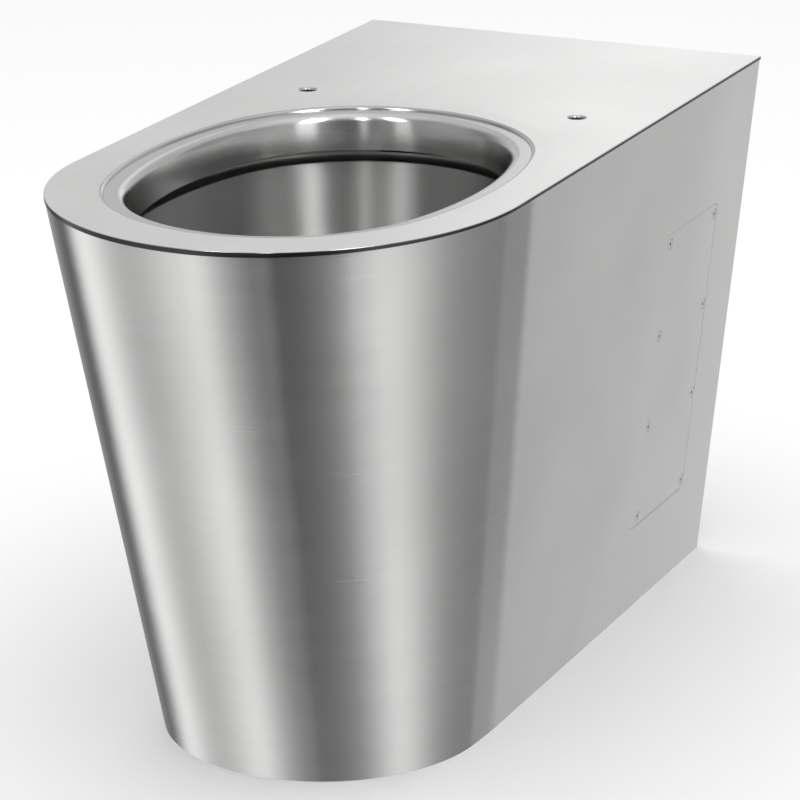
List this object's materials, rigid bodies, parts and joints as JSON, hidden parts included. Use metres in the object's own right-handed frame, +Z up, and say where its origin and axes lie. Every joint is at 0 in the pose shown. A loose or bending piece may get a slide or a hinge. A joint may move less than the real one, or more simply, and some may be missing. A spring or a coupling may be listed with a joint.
{
  "type": "floor-standing stainless steel toilet pan",
  "caption": "Floor-standing stainless steel toilet pan with a tapered round-nosed body, oval bowl, integral flushing rim, flush side access panels and a rear water inlet and waste outlet.",
  "frame": {"origin": "on the floor, in the middle of the pan's length and width", "axes": "+Z up, +Y towards the wall, -Y the nose, +X to the right seen from the front"},
  "size_m": [0.36, 0.7, 0.445],
  "materials": {
    "body_sheet": "satin, fine grain",
    "deck_sheet": "satin, grain along the pan",
    "polished_rim": "bright polished",
    "bowl_sheet": "polished, slightly soft",
    "inner_sheet": "mill finish",
    "tube_steel": "mill finish",
    "screw_steel": "bright",
    "rubber": "matt"
  },
  "bodies": {
    "root": {"body_shell": "body_sheet", "deck_plate": "deck_sheet", "flushing_rim": "polished_rim", "rim_channel": "inner_sheet", "rim_floor": "inner_sheet", "bowl": "bowl_sheet", "flush_manifold": "inner_sheet", "inlet_pipe": "tube_steel", "inlet_sleeve": "rubber", "trap_leg": "tube_steel", "trap_bend": "tube_steel", "outlet_elbow": "tube_steel", "outlet_spigot": "tube_steel", "foot_flange": "inner_sheet", "rear_brace": "inner_sheet", "outlet_saddle": "inner_sheet", "floor_bracket_right": "inner_sheet", "floor_bracket_left": "inner_sheet", "access_panel_right": "body_sheet", "access_panel_left": "body_sheet", "panel_frame_right": "inner_sheet", "panel_frame_left": "inner_sheet", "panel_screws_right": "screw_steel", "panel_screws_left": "screw_steel", "threaded_inserts_right": "screw_steel", "threaded_inserts_left": "screw_steel", "seat_plate_right": "inner_sheet", "seat_plate_left": "inner_sheet"}
  },
  "joints": []
}
